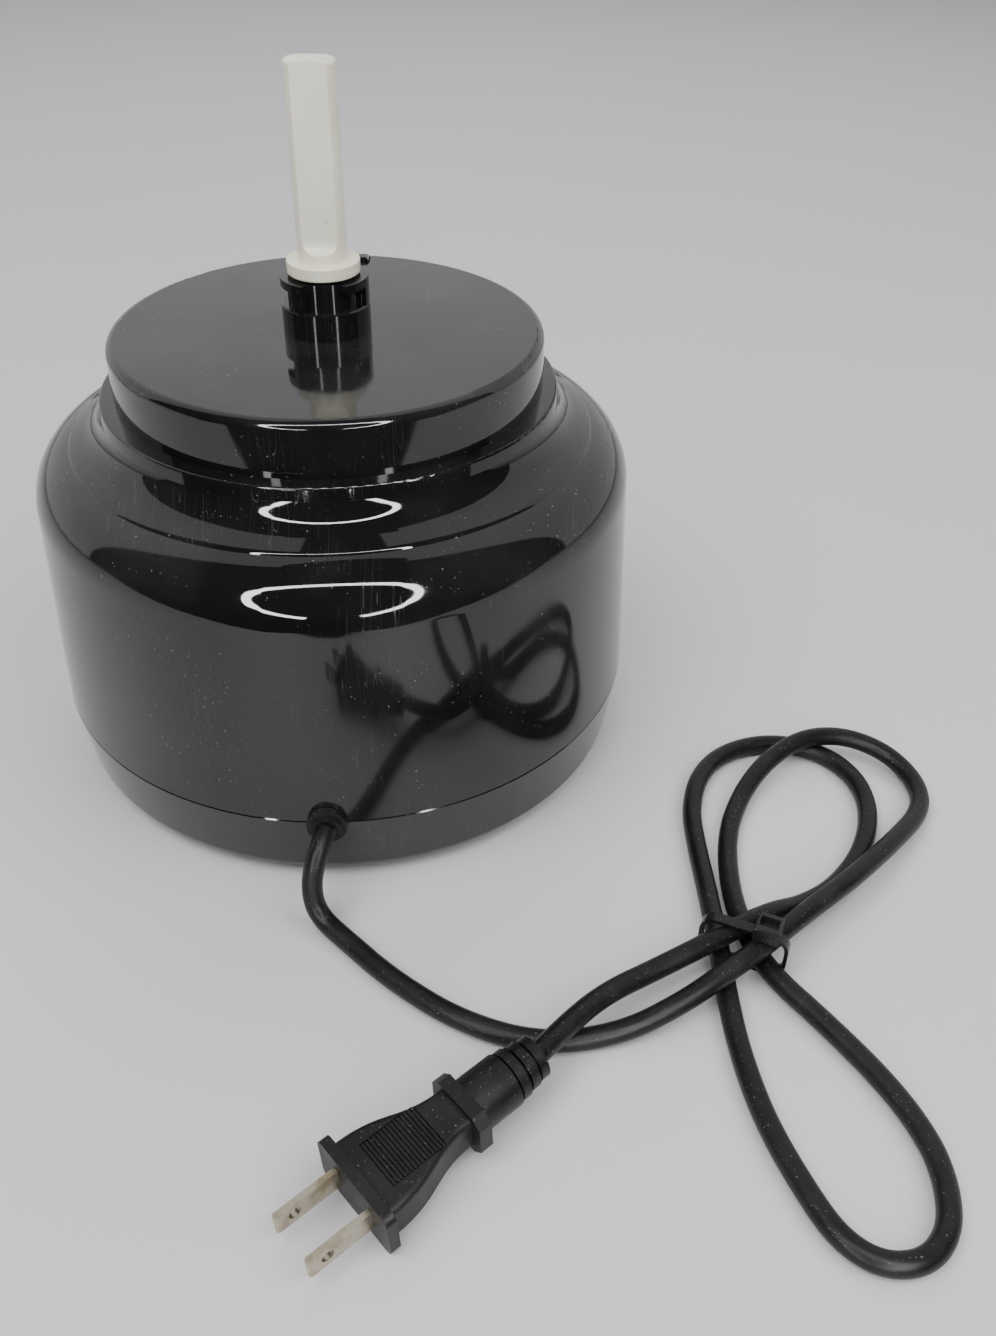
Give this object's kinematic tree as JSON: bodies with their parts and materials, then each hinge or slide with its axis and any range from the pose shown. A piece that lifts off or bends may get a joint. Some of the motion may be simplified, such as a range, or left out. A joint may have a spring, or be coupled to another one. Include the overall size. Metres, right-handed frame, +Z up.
{
  "type": "food processor motor base",
  "caption": "Round black motor base with a stepped top deck, a bayonet hub, a tall lift-off double-D drive stem, and a tied cord ending in a two-pin plug.",
  "frame": {"origin": "on the body's axis, at the height of the surface its feet stand on", "axes": "+Z up along the drive stem, +Y to the front with the selector knob, -Y to the rear where the cord leaves"},
  "size_m": [0.272, 0.2977, 0.2005],
  "materials": {
    "black_casing": "gloss",
    "black_moulding": "matte",
    "black_rubber": "matte",
    "ivory_plastic": "satin",
    "bright_steel": "satin",
    "zinc_plate": "satin",
    "core_steel": "matte",
    "copper_wire": "satin",
    "sintered_bronze": "satin",
    "cast_alloy": "satin",
    "carbon": "matte",
    "nylon_white": "matte",
    "phenolic_brown": "satin",
    "cord_jacket": "satin",
    "lead_insulation": "satin",
    "tie_nylon": "satin",
    "nickel_brass": "tarnished",
    "capacitor_case": "satin"
  },
  "bodies": {
    "housing": {"housing_shell": "black_casing", "base_pan": "black_casing", "rubber_feet": "black_rubber", "base_screws": "zinc_plate", "bowl_lock_hub": "black_moulding", "bearing_holder": "black_moulding", "holder_screws": "zinc_plate", "upper_bush": "sintered_bronze", "lower_bearing_housing": "cast_alloy", "lower_bush": "sintered_bronze", "shaft_seal": "black_rubber", "drive_belt": "black_rubber", "chassis_plate": "zinc_plate", "chassis_screws": "zinc_plate", "motor_mounts": "black_rubber", "motor_mount_screws": "zinc_plate", "motor_lower_bracket": "cast_alloy", "motor_lower_bush": "sintered_bronze", "stator_stack": "core_steel", "field_coils": "copper_wire", "brush_holders": "phenolic_brown", "brushes": "carbon", "brush_springs": "bright_steel", "motor_upper_bracket": "cast_alloy", "motor_upper_bush": "sintered_bronze", "motor_bolts": "zinc_plate", "interlock_spring": "bright_steel", "interlock_bracket": "zinc_plate", "bracket_screws": "zinc_plate", "interlock_switch": "phenolic_brown", "selector_switch": "phenolic_brown", "selector_nut": "zinc_plate", "capacitor": "capacitor_case", "internal_leads": "lead_insulation", "cord_gland": "black_rubber", "power_cord": "cord_jacket", "plug_body": "cord_jacket", "plug_blades": "nickel_brass", "cable_tie": "tie_nylon"},
    "output_train": {"output_shaft": "bright_steel", "shaft_clip": "bright_steel", "driven_pulley": "nylon_white", "pulley_nut": "zinc_plate"},
    "stem": {"drive_stem": "ivory_plastic"},
    "rotor": {"motor_shaft": "bright_steel", "armature_core": "core_steel", "armature_windings": "copper_wire", "commutator": "copper_wire", "motor_fan": "nylon_white", "drive_pulley": "nylon_white"},
    "paddle": {"interlock_paddle": "black_moulding"},
    "knob": {"control_knob": "black_moulding", "knob_spindle": "bright_steel"}
  },
  "joints": [
    {"name": "motor_spin", "type": "hinge", "parent": "housing", "child": "rotor", "pos_m": [0.044, 0, 0.07], "axis": [0, 0, 1], "continuous": true},
    {"name": "output_spin", "type": "hinge", "parent": "housing", "child": "output_train", "pos_m": [0, 0, 0.1], "axis": [0, 0, 1], "continuous": true},
    {"name": "stem_lift", "type": "slide", "parent": "output_train", "child": "stem", "axis": [0, 0, 1], "range_m": [0, 0.025]},
    {"name": "interlock_press", "type": "slide", "parent": "housing", "child": "paddle", "axis": [0, 0, -1], "range_m": [0, 0.0012], "stiffness_N_per_m": 500, "springref_m": -0.002, "deforming": ["interlock_spring"]},
    {"name": "knob_turn", "type": "hinge", "parent": "housing", "child": "knob", "pos_m": [0, 0.08, 0.066], "axis": [0, 1, 0], "range_deg": [-90, 45]}
  ],
  "couplings": [
    {"joint": "output_spin", "follows": "motor_spin", "ratio": 0.26667}
  ]
}
